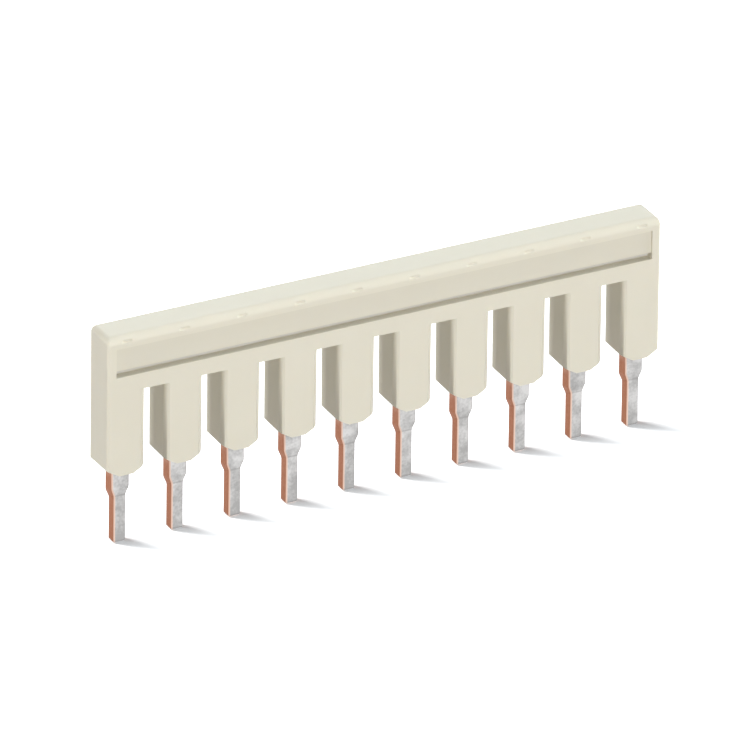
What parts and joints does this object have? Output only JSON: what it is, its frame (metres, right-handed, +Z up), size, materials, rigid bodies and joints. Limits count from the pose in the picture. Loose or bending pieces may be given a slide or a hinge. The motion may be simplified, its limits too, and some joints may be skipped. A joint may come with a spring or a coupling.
{
  "type": "terminal jumper",
  "caption": "Comb-shaped push-in jumper: a copper comb moulded into a pale insulating rail with legs, its stepped pins bridging neighbouring terminal blocks.",
  "frame": {"origin": "middle of the row of poles, on the plane of the pin tips", "axes": "+X along the row of poles, +Y from the slotted front to the plain back, +Z up from the pin tips to the rail's top"},
  "size_m": [0.0484, 0.0032, 0.0182],
  "materials": {
    "polyamide": "moulded, fine satin",
    "tinned_copper": "tinned faces, bare sheared edges"
  },
  "bodies": {
    "root": {"housing": "polyamide", "contact_comb": "tinned_copper"}
  },
  "joints": []
}
